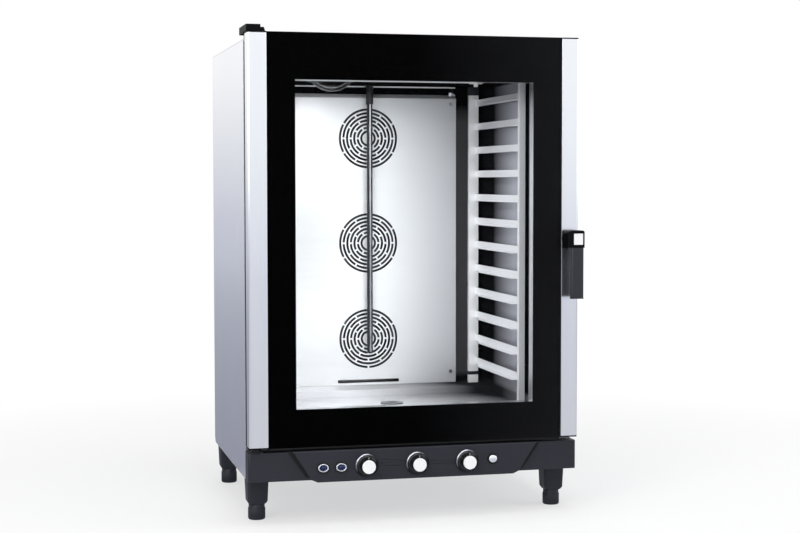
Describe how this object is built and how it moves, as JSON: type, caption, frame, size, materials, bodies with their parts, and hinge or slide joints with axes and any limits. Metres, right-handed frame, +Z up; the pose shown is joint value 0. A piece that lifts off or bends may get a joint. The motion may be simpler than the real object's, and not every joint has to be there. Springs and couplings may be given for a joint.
{
  "type": "steam convection oven",
  "caption": "Professional steam convection oven with a hinged glass door, tray racks, ring heaters, fans behind a grille, rotary controls and levelling feet.",
  "frame": {"origin": "on the floor, under the middle of the overall width and depth", "axes": "+Z up, front faces -Y, +X to the right of a person who faces the door"},
  "size_m": [0.86, 0.83, 1.25],
  "materials": {
    "brushed_steel": "brushed",
    "polished_steel": "polished",
    "bright_steel": "satin",
    "dark_heated_steel": "heat-tinted satin",
    "galvanised_steel": "galvanised",
    "anodised_aluminium": "satin anodised",
    "motor_enamel": "semi-gloss",
    "black_enamelled_steel": "semi-gloss",
    "dark_grey_plastic": "fine texture",
    "black_plastic": "fine texture",
    "grip_plastic": "satin",
    "pale_plastic": "satin",
    "blue_lens": "gloss",
    "switch_plastic": "matt",
    "black_silicone": "matt",
    "mineral_wool": "matt",
    "brass": "machined",
    "clear_glass": "clear",
    "black_enamel": "fired enamel"
  },
  "bodies": {
    "cabinet": {"base_tray": "galvanised_steel", "base_moulding": "dark_grey_plastic", "control_fascia": "dark_grey_plastic", "fascia_rings": "polished_steel", "pilot_lenses": "blue_lens", "control_switches": "switch_plastic", "legs": "dark_grey_plastic", "left_side_panel": "brushed_steel", "right_side_panel": "brushed_steel", "top_panel": "brushed_steel", "rear_panel": "galvanised_steel", "front_frame": "brushed_steel", "door_gasket": "black_silicone", "cavity_liner": "bright_steel", "insulation_slabs": "mineral_wool", "air_baffle": "bright_steel", "left_rack": "bright_steel", "right_rack": "bright_steel", "water_lance": "polished_steel", "lance_sleeve": "black_silicone", "lamp_housing": "bright_steel", "lamp_lens": "clear_glass", "lamp_bulb": "clear_glass", "drain_strainer": "bright_steel", "drain_pipe": "bright_steel", "fan_motors": "motor_enamel", "ring_heaters": "dark_heated_steel", "vent_pipe": "bright_steel", "motor_cover": "galvanised_steel", "water_valve": "brass", "cable_gland": "black_plastic", "panel_screws": "polished_steel", "hinge_brackets": "black_enamelled_steel", "hinge_cap": "black_plastic", "latch_keeper": "galvanised_steel"},
    "door": {"door_left_profile": "anodised_aluminium", "door_right_profile": "anodised_aluminium", "profile_end_caps": "black_plastic", "outer_glass": "clear_glass", "glass_border": "black_enamel", "inner_frame": "bright_steel", "inner_glass": "clear_glass"},
    "handle": {"handle_head": "black_plastic", "handle_inset": "pale_plastic", "handle_grip": "grip_plastic", "latch_shaft": "bright_steel"},
    "timer_knob": {"timer_knob": "black_plastic", "timer_knob_cap": "pale_plastic"},
    "temperature_knob": {"temperature_knob": "black_plastic", "temperature_knob_cap": "pale_plastic"},
    "steam_knob": {"steam_knob": "black_plastic", "steam_knob_cap": "pale_plastic"},
    "push_button": {"push_button": "polished_steel"},
    "fan_wheel_bottom": {"fan_wheel_bottom": "bright_steel"},
    "fan_wheel_middle": {"fan_wheel_middle": "bright_steel"},
    "fan_wheel_top": {"fan_wheel_top": "bright_steel"},
    "front_left_foot": {"front_left_foot": "dark_grey_plastic"},
    "front_right_foot": {"front_right_foot": "dark_grey_plastic"},
    "rear_left_foot": {"rear_left_foot": "dark_grey_plastic"},
    "rear_right_foot": {"rear_right_foot": "dark_grey_plastic"}
  },
  "joints": [
    {"name": "door_hinge", "type": "hinge", "parent": "cabinet", "child": "door", "pos_m": [-0.41, -0.343, 0.71], "axis": [0, 0, -1], "range_deg": [0, 180]},
    {"name": "handle_turn", "type": "hinge", "parent": "door", "child": "handle", "pos_m": [0.398, -0.365, 0.71], "axis": [0, 1, 0], "range_deg": [0, 90]},
    {"name": "timer_knob_turn", "type": "hinge", "parent": "cabinet", "child": "timer_knob", "pos_m": [-0.1315, -0.363, 0.144], "axis": [0, 1, 0], "range_deg": [0, 300]},
    {"name": "temperature_knob_turn", "type": "hinge", "parent": "cabinet", "child": "temperature_knob", "pos_m": [0, -0.363, 0.144], "axis": [0, 1, 0], "range_deg": [0, 300]},
    {"name": "steam_knob_turn", "type": "hinge", "parent": "cabinet", "child": "steam_knob", "pos_m": [0.1315, -0.363, 0.144], "axis": [0, 1, 0], "range_deg": [0, 270]},
    {"name": "push_button_press", "type": "slide", "parent": "cabinet", "child": "push_button", "axis": [0, 1, 0], "range_m": [0, 0.003], "stiffness_N_per_m": 300},
    {"name": "bottom_fan_spin", "type": "hinge", "parent": "cabinet", "child": "fan_wheel_bottom", "pos_m": [-0.008, 0.2, 0.411], "axis": [0, 1, 0], "continuous": true},
    {"name": "middle_fan_spin", "type": "hinge", "parent": "cabinet", "child": "fan_wheel_middle", "pos_m": [-0.008, 0.2, 0.683], "axis": [0, 1, 0], "continuous": true},
    {"name": "top_fan_spin", "type": "hinge", "parent": "cabinet", "child": "fan_wheel_top", "pos_m": [-0.008, 0.2, 0.979], "axis": [0, 1, 0], "continuous": true},
    {"name": "front_left_foot_screw_out", "type": "slide", "parent": "cabinet", "child": "front_left_foot", "axis": [0, 0, -1], "range_m": [0, 0.025]},
    {"name": "front_right_foot_screw_out", "type": "slide", "parent": "cabinet", "child": "front_right_foot", "axis": [0, 0, -1], "range_m": [0, 0.025]},
    {"name": "rear_left_foot_screw_out", "type": "slide", "parent": "cabinet", "child": "rear_left_foot", "axis": [0, 0, -1], "range_m": [0, 0.025]},
    {"name": "rear_right_foot_screw_out", "type": "slide", "parent": "cabinet", "child": "rear_right_foot", "axis": [0, 0, -1], "range_m": [0, 0.025]}
  ]
}
